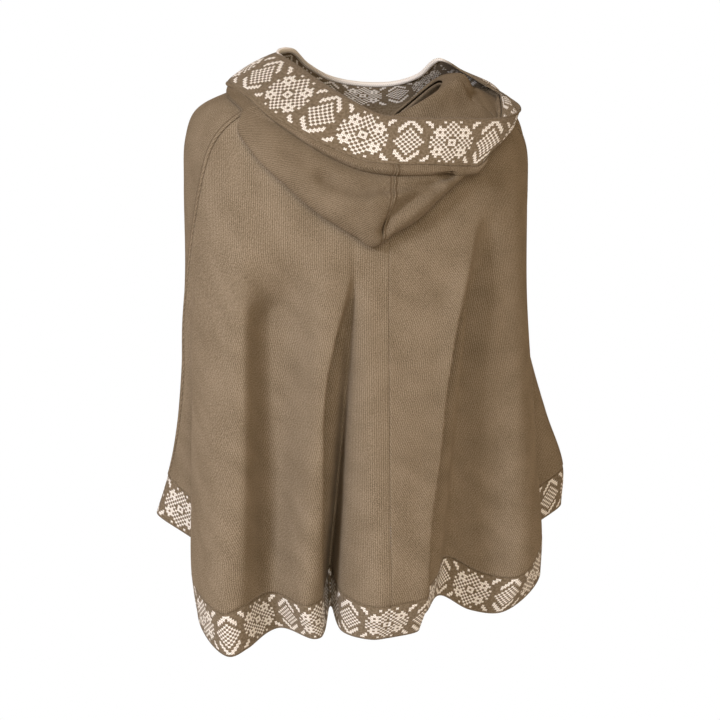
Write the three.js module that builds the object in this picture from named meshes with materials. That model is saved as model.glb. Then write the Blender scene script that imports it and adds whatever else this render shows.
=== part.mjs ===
// Hooded pullover cape in fine heathered wool, filled out as worn, hood down on the back.
// Millimetres, +Z up. The back of the cape faces -Y and the wearer's right is +X.
// The origin lies between the shoulders, level with the sides of the neck seam.

import * as THREE from 'three';

// ---------- driving sizes ----------
const WALL = 2.4;            // wool cloth
const SEAM_GAP = 0.3;        // between pieces that meet at a seam
const HEM_BAND = 60;         // jacquard band along the hem
const WELT_WIDTH = 7;        // raised welt on the shoulder seams
const WELT_RISE = 1.4;
const WELT_SLOPE = 0.7;      // how far the welt's sides spread at its foot
const NECK_GATHER = 24;      // degrees by which the panels draw together at the neck

// ---------- how fine the grids are ----------
const BACK_COLUMNS = 3;      // for each fold of the back
const FRONT_COLUMNS = 2;     // for each fold of the front
const SHOULDER_ROWS = 8;     // from the neck seam to the chest
const FALL_ROWS = 10;        // from the chest to the hem seam
const HEM_CURL_ROWS = 4;     // down the hem band
const HOOD_COLUMNS = 3;      // for each section of the hood
const BAND_ROWS = 5;         // up the hood's band

const radians = THREE.MathUtils.degToRad;
const vec = (x, y, z) => new THREE.Vector3(x, y, z);

/** Turns rows of values into objects whose fields carry the names of the columns. */
function table(columns, rows) {
  const names = columns.split(' ');
  return rows.map((row) => Object.fromEntries(names.map((name, i) => [name, row[i]])));
}

// ---------- the shoulders: level rings from the neck seam down to the chest ----------
// side, back, front: half widths and depths. sideUp, backUp, frontUp: their heights.
const RINGS = table('name side back front sideUp backUp frontUp', [
  ['neck', 120, 102, 98, -3, -70, -90],
  ['slope', 180, 130, 126, -20, -96, -112],
  ['point', 229, 146, 144, -48, -126, -142],
  ['turn', 244, 154, 152, -85, -160, -176],
  ['chest', 247, 160, 158, -150, -215, -225],
  ['waist', 250, 166, 160, -330, -350, -350],
]);
const RING_SQUARENESS = 2.3;
const WAIST = RINGS.length - 1;

// ---------- the drape: one row for each ridge and valley, round from the centre back ----------
// chest, waist: its place round the body in degrees. tuck: how far it sinks in at the waist.
// x, y, z: its foot on the hem edge. flare: 1 falls straight, more keeps close and then kicks out.
// curl: how far the hem band tucks under.
const FOLDS = table('name chest waist tuck x y z flare curl', [
  ['centre', 0, 0, 0, -8, -178, -762, 1, 28],
  ['crest3_left', -9, -10, -2, -26, -174, -764, 1, 28],
  ['edge3_left', -13, -14, 4, -56, -142, -762, 1, 16],
  ['valley_a', -16, -17, 16, -57, -80, -744, 1, 6],
  ['edge2', -19.5, -21, 4, -77, -127, -763, 1, 16],
  ['crest2', -26, -29, -4, -98, -141, -766, 1, 28],
  ['valley1', -42, -45, 24, -136, -92, -762, 1, 22],
  ['edge1', -56, -60, -3, -190, -128, -771, 1, 14],
  ['crest1', -63, -70, -3, -217, -136, -779, 1, 6],
  ['edge1_left', -69, -79, 0, -243, -42, -750, 1, 8],
  ['side_valley_left', -72, -84, 4, -208, 32, -690, 1, 8],
  ['seam_left', -75, -90, 0, -281, 95, -632, 2.4, -18],
  ['front_crest1_left', -92, -106, 0, -232, 176, -648, 1.5, -10],
  ['front_valley1_left', -110, -120, 8, -178, 142, -668, 1, 10],
  ['front_crest2_left', -125, -134, 0, -140, 205, -690, 1, 10],
  ['front_valley2_left', -142, -148, 10, -92, 158, -690, 1, 10],
  ['front_crest3_left', -158, -161, 0, -45, 212, -700, 1, 10],
  ['front_centre', -180, -180, 8, 5, 172, -696, 1, 10],
  ['front_crest3_right', -202, -199, 0, 55, 210, -700, 1, 10],
  ['front_valley2_right', -218, -212, 10, 108, 160, -688, 1, 10],
  ['front_crest2_right', -235, -226, 0, 160, 205, -686, 1, 10],
  ['front_valley1_right', -250, -240, 8, 208, 140, -668, 1, 10],
  ['front_crest1_right', -265, -254, 0, 276, 140, -652, 1, 10],
  ['seam_right', -281, -270, 0, 340, 40, -640, 1.2, 2],
  ['side_valley_right', -285, -276, 4, 262, 2, -682, 1, 8],
  ['edge4_right', -289, -282, 0, 268, -52, -724, 1, 2],
  ['crest4', -298, -293, 0, 196, -88, -766, 1, 24],
  ['edge4', -306, -303, 14, 152, -72, -765, 1, 20],
  ['valley_b', -313, -314, 30, 104, -84, -738, 1, 10],
  ['edge3_right', -321, -324, -5, 67, -140, -749, 1, 18],
  ['crest3_right', -334, -338, -2, 38, -168, -757, 1, 26],
]);

const polar = (degrees, out, up) => vec(
  out * Math.sin(radians(degrees)), -out * Math.cos(radians(degrees)), up);

function onRing(ring, degrees, inward = 0) {
  const side = Math.abs(Math.sin(radians(degrees)));
  const along = Math.cos(radians(degrees));
  const depth = along >= 0 ? ring.back : ring.front;
  const drop = along >= 0 ? ring.backUp : ring.frontUp;
  const out = (
    (side / ring.side) ** RING_SQUARENESS + (Math.abs(along) / depth) ** RING_SQUARENESS
  ) ** (-1 / RING_SQUARENESS);
  return polar(degrees, out - inward, ring.sideUp * side * side + drop * along * along);
}

/** Knots down one fold: six on the rings, two on the fall, then the hem seam and the hem edge. */
function foldKnots(fold) {
  const neckDegrees = fold.chest - NECK_GATHER * Math.sin(radians(fold.chest));
  const knots = RINGS.slice(0, WAIST).map((ring, i) => {
    const share = i / (WAIST - 1);
    return onRing(ring, THREE.MathUtils.lerp(neckDegrees, fold.chest, share));
  });
  const waist = onRing(RINGS[WAIST], fold.waist, fold.tuck);
  const foot = vec(fold.x, fold.y, fold.z);
  const outward = polar(fold.waist, 1, 0);
  const rise = Math.sqrt(HEM_BAND ** 2 - fold.curl ** 2);
  const seam = foot.clone().addScaledVector(outward, fold.curl);
  seam.z += rise;
  const fall = [1 / 3, 2 / 3].map((share) => {
    const spread = share ** fold.flare;
    return vec(
      THREE.MathUtils.lerp(waist.x, seam.x, spread),
      THREE.MathUtils.lerp(waist.y, seam.y, spread),
      THREE.MathUtils.lerp(waist.z, seam.z, share));
  });
  return [...knots, waist, ...fall, seam, foot];
}

const smooth = (points, closed = false) => new THREE.CatmullRomCurve3(points, closed, 'centripetal');

/** Closed curves that join the same knot of every section. */
function roundCurves(sections) {
  return sections[0].map((_, row) => smooth(sections.map((section) => section[row]), true));
}

const DRAPE_ROUNDS = roundCurves(FOLDS.map(foldKnots));
const HEM_SEAM = DRAPE_ROUNDS.length - 2;
const HEM_EDGE = DRAPE_ROUNDS.length - 1;

/** The line down the cloth at u folds round from the centre back. */
function drapeLine(u) {
  const share = THREE.MathUtils.euclideanModulo(u / FOLDS.length, 1);
  const knots = DRAPE_ROUNDS.map((curve) => curve.getPoint(share));
  return smooth(knots);
}

const drapePoint = (u, row) => drapeLine(u).getPoint(row / HEM_EDGE);

/** A point that stands off the drape at a place on it. */
function offDrape(u, row, distance) {
  const point = drapePoint(u, row);
  const across = drapePoint(u + 0.1, row).sub(drapePoint(u - 0.1, row));
  const down = drapePoint(u, row + 0.05).sub(drapePoint(u, Math.max(row - 0.05, 0)));
  return point.addScaledVector(across.cross(down).normalize(), distance);
}

const foldIndex = (name) => FOLDS.findIndex((fold) => fold.name === name);

// ---------- walls ----------
/** Points [column][row] all the way round a closed surface, with the normal at each. */
function surface(points) {
  const count = points.length;
  const normals = points.map((column, i) => column.map((_, j) => {
    const across = points[(i + 1) % count][j].clone().sub(points[(i + count - 1) % count][j]);
    const down = column[Math.min(j + 1, column.length - 1)].clone().sub(column[Math.max(j - 1, 0)]);
    return across.cross(down).normalize();
  }));
  return { points, normals };
}

/** The columns and rows of a surface between two columns and two rows, both included. */
function cut({ points, normals }, from, to, top, bottom) {
  const columns = Array.from({ length: to - from + 1 }, (_, i) => (from + i) % points.length);
  const pick = (grid) => columns.map((i) => grid[i].slice(top, bottom + 1));
  return { points: pick(points), normals: pick(normals) };
}

/** A closed wall between two grids of points, the first of which faces out. */
function wallGeometry(outer, inner, closed) {
  const columns = outer.length;
  const rows = outer[0].length;
  const positions = [];
  [outer, inner].forEach((grid) => grid.forEach((column) => column.forEach(
    (point) => positions.push(point.x, point.y, point.z))));
  const at = (layer, i, j) => (layer * columns + (i % columns)) * rows + j;
  const faces = [];
  const quad = (a, b, c, d) => faces.push(a, b, c, a, c, d);
  const spans = closed ? columns : columns - 1;
  for (let i = 0; i < spans; i += 1) {
    for (let j = 0; j < rows - 1; j += 1) {
      quad(at(0, i, j), at(0, i + 1, j), at(0, i + 1, j + 1), at(0, i, j + 1));
      quad(at(1, i, j), at(1, i, j + 1), at(1, i + 1, j + 1), at(1, i + 1, j));
    }
    quad(at(0, i, 0), at(1, i, 0), at(1, i + 1, 0), at(0, i + 1, 0));
    quad(at(0, i, rows - 1), at(0, i + 1, rows - 1), at(1, i + 1, rows - 1), at(1, i, rows - 1));
  }
  if (!closed) {
    for (let j = 0; j < rows - 1; j += 1) {
      quad(at(0, 0, j), at(0, 0, j + 1), at(1, 0, j + 1), at(1, 0, j));
      quad(at(0, spans, j), at(1, spans, j), at(1, spans, j + 1), at(0, spans, j + 1));
    }
  }
  const geometry = new THREE.BufferGeometry();
  geometry.setAttribute('position', new THREE.Float32BufferAttribute(positions, 3));
  geometry.setIndex(faces);
  return geometry;
}

/** Cloth whose right side is the surface, raised by each column's relief, with the wall behind it. */
function cloth({ points, normals, relief }, closed = false) {
  const moved = (distance) => points.map((column, i) => column.map(
    (point, j) => point.clone().addScaledVector(normals[i][j], distance(i))));
  return wallGeometry(moved((i) => (relief ? relief[i] : 0)), moved(() => -WALL), closed);
}

/** Draws the outermost columns and rows back by half a seam gap. */
function parted({ points, normals }, { sides = true, top = true, bottom = true } = {}) {
  const towards = (from, to) => from.clone().add(to.clone().sub(from).setLength(SEAM_GAP / 2));
  const columns = points.map((column) => {
    const rows = [...column];
    if (top) rows[0] = towards(column[0], column[1]);
    if (bottom) rows[rows.length - 1] = towards(column.at(-1), column.at(-2));
    return rows;
  });
  if (!sides) return { points: columns, normals };
  const first = columns[0].map((point, j) => towards(point, columns[1][j]));
  const last = columns.at(-1).map((point, j) => towards(point, columns.at(-2)[j]));
  return { points: [first, ...columns.slice(1, -1), last], normals };
}

// ---------- materials ----------
const wool = new THREE.MeshStandardMaterial({ color: 0x8a7860, roughness: 0.95, metalness: 0 });
const jacquard = new THREE.MeshStandardMaterial({ color: 0xb9a78d, roughness: 0.95, metalness: 0 });

const group = new THREE.Group();

function add(name, geometry, material) {
  const mesh = new THREE.Mesh(geometry, material);
  mesh.name = name;
  group.add(mesh);
}

// ---------- panels and hem bands ----------
const SEAM_LEFT = foldIndex('seam_left');
const SEAM_RIGHT = foldIndex('seam_right');
const steps = (from, to, count) => Array.from(
  { length: count + 1 }, (_, i) => THREE.MathUtils.lerp(from, to, i / count));

const PANEL_ROWS = [...steps(0, WAIST - 1, SHOULDER_ROWS), ...steps(WAIST - 1, HEM_SEAM, FALL_ROWS).slice(1)];
const HEM_ROWS = steps(HEM_SEAM, HEM_EDGE, HEM_CURL_ROWS).slice(1);
const drapeColumns = (from, to, columnsPerFold) => steps(from, to, (to - from) * columnsPerFold).map((u) => {
  const line = drapeLine(u);
  return [...PANEL_ROWS, ...HEM_ROWS].map((row) => line.getPoint(row / HEM_EDGE));
});
const backLeft = drapeColumns(0, SEAM_LEFT, BACK_COLUMNS);
const front = drapeColumns(SEAM_LEFT, SEAM_RIGHT, FRONT_COLUMNS);
const backRight = drapeColumns(SEAM_RIGHT, FOLDS.length, BACK_COLUMNS);
const drapeSurface = surface([...backLeft, ...front.slice(1), ...backRight.slice(1, -1)]);

// The welt on each shoulder seam lies on the front's edge: how far in, and how high it stands there.
const WELT = table('reach rise', [
  [WELT_SLOPE, WELT_RISE],
  [WELT_WIDTH, WELT_RISE],
  [WELT_WIDTH + WELT_SLOPE, 0],
]);

/** The front with the welts' columns let in beside both its side edges. */
function withWelts({ points, normals }) {
  const beside = (edge, next) => WELT.map(({ reach, rise }) => {
    const shares = points[edge].map((point, j) => reach / point.distanceTo(points[next][j]));
    const between = (grid) => grid[edge].map((value, j) => value.clone().lerp(grid[next][j], shares[j]));
    return { points: between(points), normals: between(normals).map((v) => v.normalize()), rise };
  });
  const plain = points.map((column, i) => ({ points: column, normals: normals[i], rise: 0 }));
  const last = plain.length - 1;
  const all = [
    plain[0],
    ...beside(0, 1),
    ...plain.slice(1, -1),
    ...beside(last, last - 1).reverse(),
    plain[last],
  ];
  return {
    points: all.map((column) => column.points),
    normals: all.map((column) => column.normals),
    relief: all.map((column) => column.rise),
  };
}

const leftEnd = backLeft.length - 1;
const frontEnd = leftEnd + front.length - 1;
const SEAM_ROW = PANEL_ROWS.length - 1;
const HEM_ROW = SEAM_ROW + HEM_ROWS.length;
const PANELS = [
  { name: 'back_left', from: 0, to: leftEnd },
  { name: 'front', from: leftEnd, to: frontEnd },
  { name: 'back_right', from: frontEnd, to: drapeSurface.points.length },
];
PANELS.forEach(({ name, from, to }) => {
  const panel = parted(cut(drapeSurface, from, to, 0, SEAM_ROW));
  const hem = parted(cut(drapeSurface, from, to, SEAM_ROW, HEM_ROW), { bottom: false });
  add(name, cloth(name === 'front' ? withWelts(panel) : panel), wool);
  add(`hem_band_${name}`, cloth(hem), jacquard);
});

// ---------- the hood ----------
// One row for each section of the hood and its band, round from the centre back by the left.
// neckU: its place on the neck seam. rise, out: the turned-back top of the hood's root there.
// edgeU, edgeRow: where the bag's lower edge lies on the back. belly: how far the bag bulges.
// bx, by, bz: the seam with the band. strip: how deep the cloth folds under that seam, as a share.
// tx, ty, tz: the top of the band. swell: its bulge. roll: how far its free edge turns in.
const HOOD = table('name neckU rise out edgeU edgeRow belly bx by bz strip tx ty tz swell roll', [
  ['centre', 0, 5, 5, 0.5, 4.12, 22, 3, -180, -126, 1, 24, -149, -63, 6, 12],
  ['back_left1', 4, 5, 5, 2.6, 4.1, 24, -38, -170, -121, 1, -8, -139, -58, 6, 12],
  ['back_left2', 6, 5, 5, 5.2, 3.94, 22, -75, -158, -106, 1, -28, -126, -47, 6, 12],
  ['back_left3', 8, 5, 5, 6.6, 3.4, 16, -115, -145, -85, 0.8, -50, -104, -31, 6, 12],
  ['back_left4', 11, 5, 5, 8.6, 2.7, 9, -150, -121, -60, 0.6, -73, -68, -10, 6, 10],
  ['back_left5', 12, 6, 5, 10.8, 1.9, 5, -171, -85, -33, 0.6, -100, -30, 16, 6, 8],
  ['left', 13, 8, 6, 12.4, 1.2, 2, -187, -2, -9, 0.5, -116, 2, 33, 8, 4],
  ['front_left1', 14, 8, 6, 13.6, 0.7, 0, -146, 58, -14, 0.45, -86, 38, 40, 8, 0],
  ['front_left2', 15, 3, 3, 14.9, 0.5, 3, -92, 102, -46, 0.45, -54, 77, 24, 6, 0],
  ['front_left3', 16, 4, 1, 16.3, 0.5, 5, -36, 118, -60, 0.45, -12, 105, 9, 6, 0],
  ['front', 17, 4, 1, 17.4, 0.5, 5, 22, 122, -66, 0.45, 34, 107, 2, 6, 0],
  ['front_right3', 18, 4, 1, 18.3, 0.5, 5, 88, 114, -60, 0.45, 79, 88, 2, 6, 0],
  ['front_right2', 19, 3, 3, 19.1, 0.5, 3, 140, 82, -32, 0.45, 107, 53, 11, 8, 0],
  ['front_right1', 20, 6, 5, 20.4, 0.7, 0, 174, 34, -8, 0.45, 124, 4, 30, 8, 0],
  ['right', 20.9, 7, 8, 21.6, 1.2, 1, 202, -18, -12, 0.45, 150, -18, 12, 10, 0],
  ['fold_b', 21.8, 10, 28, 23.7, 1.55, 1, 186, -88, -36, 0.45, 178, -53, -12, 8, 0],
  ['crease', 22.5, 5, 16, 25.6, 2.05, 1, 170, -127, -63, 0.45, 196, -82, -29, 10, 0],
  ['fold_a', 23.3, 17, 30, 27, 2.65, 1, 150, -148, -97, 0.45, 205, -107, -45, 10, 0],
  ['fold_end', 25, 14, 22, 28.3, 3, 2, 124, -166, -126, 0.6, 174, -136, -58, 8, 4],
  ['back_right3', 27, 13, 20, 29, 3.1, 8, 108, -168, -127, 0.8, 136, -151, -63, 6, 6],
  ['back_right2', 28.6, 10, 14, 30, 3.4, 14, 80, -175, -127, 1, 96, -157, -63, 6, 10],
  ['back_right1', 30, 6, 6, 30.6, 3.88, 20, 45, -179, -126, 1, 60, -157, -64, 6, 12],
]);
const ROOT_GAP = 1.5;        // hood over the neck seam
const BAG_CLEARANCE = 4;     // hood over the back it lies on
const NECK_TO_SLOPE = 60;    // along the shoulder, one ring to the next
const STRIP_DROP = 14;       // how far the cloth hangs below the band's seam
const STRIP_TUCK = 13;       // and how far in it folds there
const EDGE_BELLY = 14;       // the bag's lower edge stands out with its belly up to this much
const FULL_ROLL = 5;         // a free edge that turns in this far is rolled all the way
const UNDER = [0.15, 0.4, 0.65, 0.87];    // shares of the way down the back
const BAG = table('part fullness', [[0.12, 0.55], [0.45, 1], [0.8, 0.75]]);    // up the bag

const blend = (a, b, share) => a.clone().lerp(b, share);
const level = (point) => vec(point.x, point.y, 0).normalize();

const hoodTurn = (i) => (i / HOOD.length) * FOLDS.length;
const valuesRound = (read) => smooth(HOOD.map((section, i) => vec(...read(section, hoodTurn(i)))), true);
const hoodValues = {
  places: valuesRound((s, turn) => [s.neckU - turn, s.edgeU - turn, s.edgeRow]),
  root: valuesRound((s) => [s.rise, s.out, s.belly]),
  seam: valuesRound((s) => [s.bx, s.by, s.bz]),
  top: valuesRound((s) => [s.tx, s.ty, s.tz]),
  trim: valuesRound((s) => [s.strip, s.swell, s.roll]),
};

/** Knots down the hood's cloth: the root, down the back, round the bag's edge and up to the seam. */
function hoodKnots(share) {
  const [places, root] = [hoodValues.places.getPoint(share), hoodValues.root.getPoint(share)];
  const turn = share * FOLDS.length;
  const [neckU, edgeU, edgeRow] = [places.x + turn, places.y + turn, places.z];
  const [rise, out, belly] = root.toArray();
  const strip = hoodValues.trim.getPoint(share).x;
  const start = drapePoint(neckU, 0).add(vec(0, 0, ROOT_GAP));
  const top = start.clone().addScaledVector(level(start), out).add(vec(0, 0, rise));
  const topRow = (out + BAG_CLEARANCE) / NECK_TO_SLOPE;
  const under = UNDER.map((part) => offDrape(
    THREE.MathUtils.lerp(neckU, edgeU, part),
    THREE.MathUtils.lerp(topRow, edgeRow, part),
    BAG_CLEARANCE));
  const edge = offDrape(edgeU, edgeRow, BAG_CLEARANCE + Math.min(belly, EDGE_BELLY) * 0.35);
  const seam = hoodValues.seam.getPoint(share);
  const outward = level(seam);
  const folded = (outBy, down) => seam.clone()
    .addScaledVector(outward, outBy * strip).add(vec(0, 0, -down * strip));
  const tuck = folded(-STRIP_TUCK, STRIP_DROP / 2);
  const bag = BAG.map(({ part, fullness }) => (
    blend(edge, tuck, part).addScaledVector(outward, belly * fullness)));
  const strap = [folded(-STRIP_TUCK / 3, STRIP_DROP), folded(STRIP_TUCK / 4, STRIP_DROP / 2)];
  return [start, top, ...under, edge, ...bag, tuck, ...strap, seam];
}

/** Knots of the band above it: swell, shoulder and free edge, upright in front and rolled in behind. */
function bandKnots(share) {
  const seam = hoodValues.seam.getPoint(share);
  const top = hoodValues.top.getPoint(share);
  const trim = hoodValues.trim.getPoint(share);
  const roll = Math.max(trim.z, 0);
  const rolled = Math.min(roll / FULL_ROLL, 1);
  const swell = blend(seam, top, 0.5).addScaledVector(level(seam), trim.y);
  const turnedIn = top.clone().addScaledVector(level(top), -roll).add(vec(0, 0, -roll / 2));
  return [
    swell,
    blend(swell, top, THREE.MathUtils.lerp(0.55, 1, rolled)),
    top.lerp(turnedIn, rolled),
  ];
}

// Knots down the line, closer together where the cloth turns.
const HOOD_PLACES = [0, 0.5, 1, 2, 3, 4, 5, 5.6, 6, 6.4, 7, 8, 9, 10, 10.5, 11, 11.5, 12, 13];
const SEAM_KNOT = HOOD_PLACES.at(-1);
const bandPlaces = steps(SEAM_KNOT, SEAM_KNOT + 3, BAND_ROWS).slice(1);
// Columns go round by the right, so that the surface faces away from the hood's hollow.
const hoodSurface = surface(steps(1, 0, HOOD.length * HOOD_COLUMNS).slice(0, -1).map((share) => {
  const line = smooth([...hoodKnots(share), ...bandKnots(share)]);
  return [...HOOD_PLACES, ...bandPlaces].map((place) => line.getPoint(place / (SEAM_KNOT + 3)));
}));
const HOOD_ROWS = HOOD_PLACES.length - 1;
const sectionsToFront = HOOD.length - HOOD.findIndex((section) => section.name === 'front');
const HOOD_FRONT = sectionsToFront * HOOD_COLUMNS;
const HOOD_LAST = hoodSurface.points.length;
const HALVES = [
  { name: 'hood_right', from: 0, to: HOOD_FRONT },
  { name: 'hood_left', from: HOOD_FRONT, to: HOOD_LAST },
];
HALVES.forEach(({ name, from, to }) => {
  const half = cut(hoodSurface, from, to, 0, HOOD_ROWS);
  add(name, cloth(parted(half, { top: false })), wool);
});

const band = cut(hoodSurface, 0, HOOD_LAST - 1, HOOD_ROWS, HOOD_ROWS + BAND_ROWS);
add('hood_band', cloth(parted(band, { sides: false, bottom: false }), true), jacquard);

export default group;
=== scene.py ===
# %% [markdown]
# A hooded pullover cape in fine wool, filled out as it is worn, with the hood down on the back.
# The solids of the cape are packed already, and Blender only gives it its looks. So the script first
# loads those solids as a fixed frame, and every piece made here rides on that frame.

import math

import bmesh
import bpy
import numpy as np
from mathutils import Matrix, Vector, noise


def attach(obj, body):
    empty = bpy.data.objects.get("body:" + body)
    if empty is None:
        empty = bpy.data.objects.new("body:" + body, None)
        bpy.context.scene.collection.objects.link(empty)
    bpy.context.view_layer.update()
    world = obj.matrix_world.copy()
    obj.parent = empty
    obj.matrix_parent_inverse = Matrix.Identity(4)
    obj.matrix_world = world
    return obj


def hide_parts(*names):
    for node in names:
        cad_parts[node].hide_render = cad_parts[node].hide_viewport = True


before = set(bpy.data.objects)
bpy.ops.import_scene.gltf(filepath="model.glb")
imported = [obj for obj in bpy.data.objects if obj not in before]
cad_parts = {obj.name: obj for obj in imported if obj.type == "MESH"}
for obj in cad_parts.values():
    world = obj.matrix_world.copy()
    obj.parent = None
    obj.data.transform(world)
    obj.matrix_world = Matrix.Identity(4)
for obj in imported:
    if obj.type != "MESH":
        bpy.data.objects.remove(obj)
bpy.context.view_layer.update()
MM = 0.001
print("nodes in the frame:", sorted(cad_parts))

# %% [markdown]
# Cloth hangs in curved folds. A maker could sculpt them, or let a simulation drape a flat cut, but this
# cape has to keep one known drape. So its surface is worked out from short tables: level rings round
# the shoulders, and one row for each ridge and valley down to the hem. All sizes are millimetres.

# %% The drape in numbers
WALL = 2.4
HEM_BAND = 60
# How many degrees the folds are drawn together at the neck.
NECK_GATHER = 24
# 2 would make the rings ellipses, and more makes them squarer.
RING_SQUARENESS = 2.3

# side, back, front: half widths and depths. side_up, back_up, front_up: their heights.
RINGS = [
    # side back front side_up back_up front_up
    (120, 102, 98, -3, -70, -90),
    (180, 130, 126, -20, -96, -112),
    (229, 146, 144, -48, -126, -142),
    (244, 154, 152, -85, -160, -176),
    (247, 160, 158, -150, -215, -225),
    (250, 166, 160, -330, -350, -350),
]
WAIST = len(RINGS) - 1

# chest, waist: place round the body in degrees. tuck: how far it sinks in at the waist.
# x, y, z: its foot on the hem edge. flare: 1 falls straight, more keeps close and kicks out.
# curl: how far the hem band tucks under.
FOLDS = [
    # name chest waist tuck x y z flare curl
    ("centre", 0, 0, 0, -8, -178, -762, 1, 28),
    ("crest3_left", -9, -10, -2, -26, -174, -764, 1, 28),
    ("edge3_left", -13, -14, 4, -56, -142, -762, 1, 16),
    ("valley_a", -16, -17, 16, -57, -80, -744, 1, 6),
    ("edge2", -19.5, -21, 4, -77, -127, -763, 1, 16),
    ("crest2", -26, -29, -4, -98, -141, -766, 1, 28),
    ("valley1", -42, -45, 24, -136, -92, -762, 1, 22),
    ("edge1", -56, -60, -3, -190, -128, -771, 1, 14),
    ("crest1", -63, -70, -3, -217, -136, -779, 1, 6),
    ("edge1_left", -69, -79, 0, -243, -42, -750, 1, 8),
    ("side_valley_left", -72, -84, 4, -208, 32, -690, 1, 8),
    ("seam_left", -75, -90, 0, -281, 95, -632, 2.4, -18),
    ("front_crest1_left", -92, -106, 0, -232, 176, -648, 1.5, -10),
    ("front_valley1_left", -110, -120, 8, -178, 142, -668, 1, 10),
    ("front_crest2_left", -125, -134, 0, -140, 205, -690, 1, 10),
    ("front_valley2_left", -142, -148, 10, -92, 158, -690, 1, 10),
    ("front_crest3_left", -158, -161, 0, -45, 212, -700, 1, 10),
    ("front_centre", -180, -180, 8, 5, 172, -696, 1, 10),
    ("front_crest3_right", -202, -199, 0, 55, 210, -700, 1, 10),
    ("front_valley2_right", -218, -212, 10, 108, 160, -688, 1, 10),
    ("front_crest2_right", -235, -226, 0, 160, 205, -686, 1, 10),
    ("front_valley1_right", -250, -240, 8, 208, 140, -668, 1, 10),
    ("front_crest1_right", -265, -254, 0, 276, 140, -652, 1, 10),
    ("seam_right", -281, -270, 0, 340, 40, -640, 1.2, 2),
    ("side_valley_right", -285, -276, 4, 262, 2, -682, 1, 8),
    ("edge4_right", -289, -282, 0, 268, -52, -724, 1, 2),
    ("crest4", -298, -293, 0, 196, -88, -766, 1, 24),
    ("edge4", -306, -303, 14, 152, -72, -765, 1, 20),
    ("valley_b", -313, -314, 30, 104, -84, -738, 1, 10),
    ("edge3_right", -321, -324, -5, 67, -140, -749, 1, 18),
    ("crest3_right", -334, -338, -2, 38, -168, -757, 1, 26),
]
FOLD_NAMES = [row[0] for row in FOLDS]
SEAM_LEFT = FOLD_NAMES.index("seam_left")
SEAM_RIGHT = FOLD_NAMES.index("seam_right")
print(len(FOLDS), "ridges and valleys round the cape")

# %% [markdown]
# A smooth line has to pass through the points of each table. A centripetal Catmull-Rom spline does
# that without overshooting, and one function serves for lines down the cloth and lines round it.


# %% A smooth line through points
def through(knots, at, closed=False):
    """Points at knot numbers `at` on the smooth line through knots[number, ..., axis]."""
    knots = np.asarray(knots, float)
    at = np.asarray(at, float)
    count = len(knots)
    first = np.floor(at + 1e-9).astype(int)
    if closed:
        ahead = [knots[(first + step) % count] for step in (-1, 0, 1, 2)]
    else:
        first = np.clip(first, 0, count - 2)
        ends = [2 * knots[:1] - knots[1:2], knots, 2 * knots[-1:] - knots[-2:-1]]
        padded = np.concatenate(ends)
        ahead = [padded[first + step] for step in (0, 1, 2, 3)]
    part = (at - first).reshape((-1,) + (1,) * (knots.ndim - 1))
    a, b, c, d = ahead
    before, here, after = [
        np.maximum(np.linalg.norm(q - p, axis=-1, keepdims=True) ** 0.5, 1e-3)
        for p, q in ((a, b), (b, c), (c, d))
    ]
    leave = ((b - a) / before - (c - a) / (before + here) + (c - b) / here) * here
    reach = ((c - b) / here - (d - b) / (here + after) + (d - c) / after) * here
    square = -3 * b + 3 * c - 2 * leave - reach
    cube = 2 * b - 2 * c + leave + reach
    return b + leave * part + square * part**2 + cube * part**3


print("half way between the first two of three level knots:", through([[0], [1], [2]], [0.5]).tolist())

# %% [markdown]
# Each row of the folds' table becomes one line of knots: five on the rings, one at the waist, two on the
# fall, then the hem band's seam and the hem's edge. One spline runs down the lines and another round
# them, so the surface can be asked for a point at any turn and row. Curves lofted in the editor would
# give the same shape, but they could not be asked for a point.


# %% The drape
def on_ring(ring, degrees, inward=0):
    """A point of a shoulder ring, flattened in front and behind and drooping there."""
    side, back, front, side_up, back_up, front_up = ring
    across = math.sin(math.radians(degrees))
    along = math.cos(math.radians(degrees))
    depth, drop = (back, back_up) if along >= 0 else (front, front_up)
    out = (abs(across) / side) ** RING_SQUARENESS + (abs(along) / depth) ** RING_SQUARENESS
    out = out ** (-1 / RING_SQUARENESS) - inward
    return np.array([out * across, -out * along, side_up * across**2 + drop * along**2])


def fold_knots(fold):
    """Knots down one fold: the rings, the waist, two on the fall, the hem seam and the hem edge."""
    _, chest, waist, tuck, x, y, z, flare, curl = fold
    neck = chest - NECK_GATHER * math.sin(math.radians(chest))
    knots = [
        on_ring(ring, neck + (chest - neck) * i / (WAIST - 1))
        for i, ring in enumerate(RINGS[:WAIST])
    ]
    middle = on_ring(RINGS[WAIST], waist, tuck)
    angle = math.radians(waist)
    foot = np.array([x, y, z], float)
    seam = foot + np.array([math.sin(angle) * curl, -math.cos(angle) * curl, 0])
    seam[2] += math.sqrt(HEM_BAND**2 - curl**2)
    fall = []
    for share in (1 / 3, 2 / 3):
        spread = np.array([share**flare, share**flare, share])
        fall.append(middle + (seam - middle) * spread)
    return knots + [middle] + fall + [seam, foot]


ROUNDS = np.array([fold_knots(fold) for fold in FOLDS])
HEM_SEAM = ROUNDS.shape[1] - 2
HEM_EDGE = ROUNDS.shape[1] - 1


def drape(turns, rows):
    """Points [column, row, axis] of the drape, at folds round and knot rows down."""
    lines = through(ROUNDS, np.asarray(turns, float) % len(FOLDS), closed=True)
    return through(lines.transpose(1, 0, 2), rows).transpose(1, 0, 2)


print("a line down the centre back runs from", drape([0], [0, HEM_EDGE]).round(0).tolist())

# %% [markdown]
# The hood and its band are one cloth too: it stands up from the neck seam, turns over, lies down on
# the back, turns round the bag's lower edge and climbs to the band. A second table gives that path.

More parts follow.
